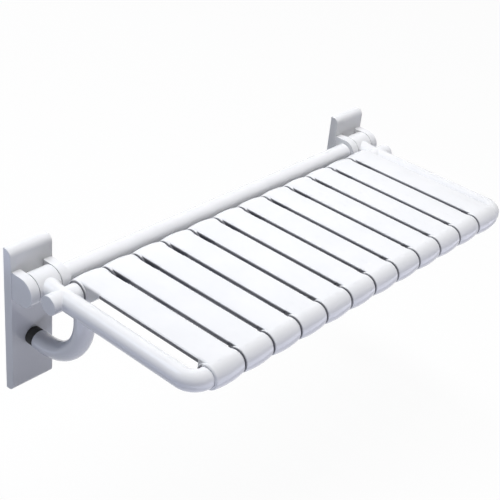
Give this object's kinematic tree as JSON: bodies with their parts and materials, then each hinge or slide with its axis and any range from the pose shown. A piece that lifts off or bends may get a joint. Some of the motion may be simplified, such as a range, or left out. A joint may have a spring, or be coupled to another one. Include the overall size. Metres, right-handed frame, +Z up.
{
  "type": "fold down wall seat",
  "caption": "Fold-down wall seat: a slatted board on a round tube frame swings up on wall hinge brackets and rests on J-shaped legs with rubber buffers.",
  "frame": {"origin": "On the wall plane, midway between the wall brackets at half their height, which is the centre of the wall bolt patterns", "axes": "+X along the wall to the right as seen from the front, +Y into the wall, +Z up"},
  "size_m": [0.872, 0.3932, 0.266],
  "materials": {
    "white_tube": "gloss white polyamide skin on steel tube",
    "white_casting": "gloss white polyamide skin on a metal casting",
    "white_plastic": "moulded gloss white polyamide",
    "bracket_steel": "zinc plated steel",
    "stainless": "ground stainless steel",
    "bush_plastic": "self lubricating plastic",
    "black_rubber": "soft black rubber"
  },
  "bodies": {
    "wall_brackets": {"left_base_plate": "bracket_steel", "right_base_plate": "bracket_steel", "left_hinge_cheeks": "bracket_steel", "right_hinge_cheeks": "bracket_steel", "left_wall_cover": "white_plastic", "right_wall_cover": "white_plastic", "left_hinge_pin": "stainless", "right_hinge_pin": "stainless", "back_tube": "white_tube", "back_tube_plugs": "bush_plastic"},
    "seat": {"left_hinge_barrel": "white_casting", "right_hinge_barrel": "white_casting", "left_hinge_bushes": "bush_plastic", "right_hinge_bushes": "bush_plastic", "rear_cross_tube": "white_tube", "seat_frame_tube": "white_tube", "left_end_cap": "white_plastic", "right_end_cap": "white_plastic", "left_support_leg": "white_tube", "right_support_leg": "white_tube", "left_rubber_buffer": "black_rubber", "right_rubber_buffer": "black_rubber", "slat_01": "white_plastic", "slat_02": "white_plastic", "slat_03": "white_plastic", "slat_04": "white_plastic", "slat_05": "white_plastic", "slat_06": "white_plastic", "slat_07": "white_plastic", "slat_08": "white_plastic", "slat_09": "white_plastic", "slat_10": "white_plastic", "slat_11": "white_plastic", "slat_12": "white_plastic", "slat_screws": "stainless"}
  },
  "joints": [
    {"name": "seat_fold", "type": "hinge", "parent": "wall_brackets", "child": "seat", "pos_m": [0, -0.04, 0.071], "axis": [-1, 0, 0], "range_deg": [0, 90]}
  ]
}
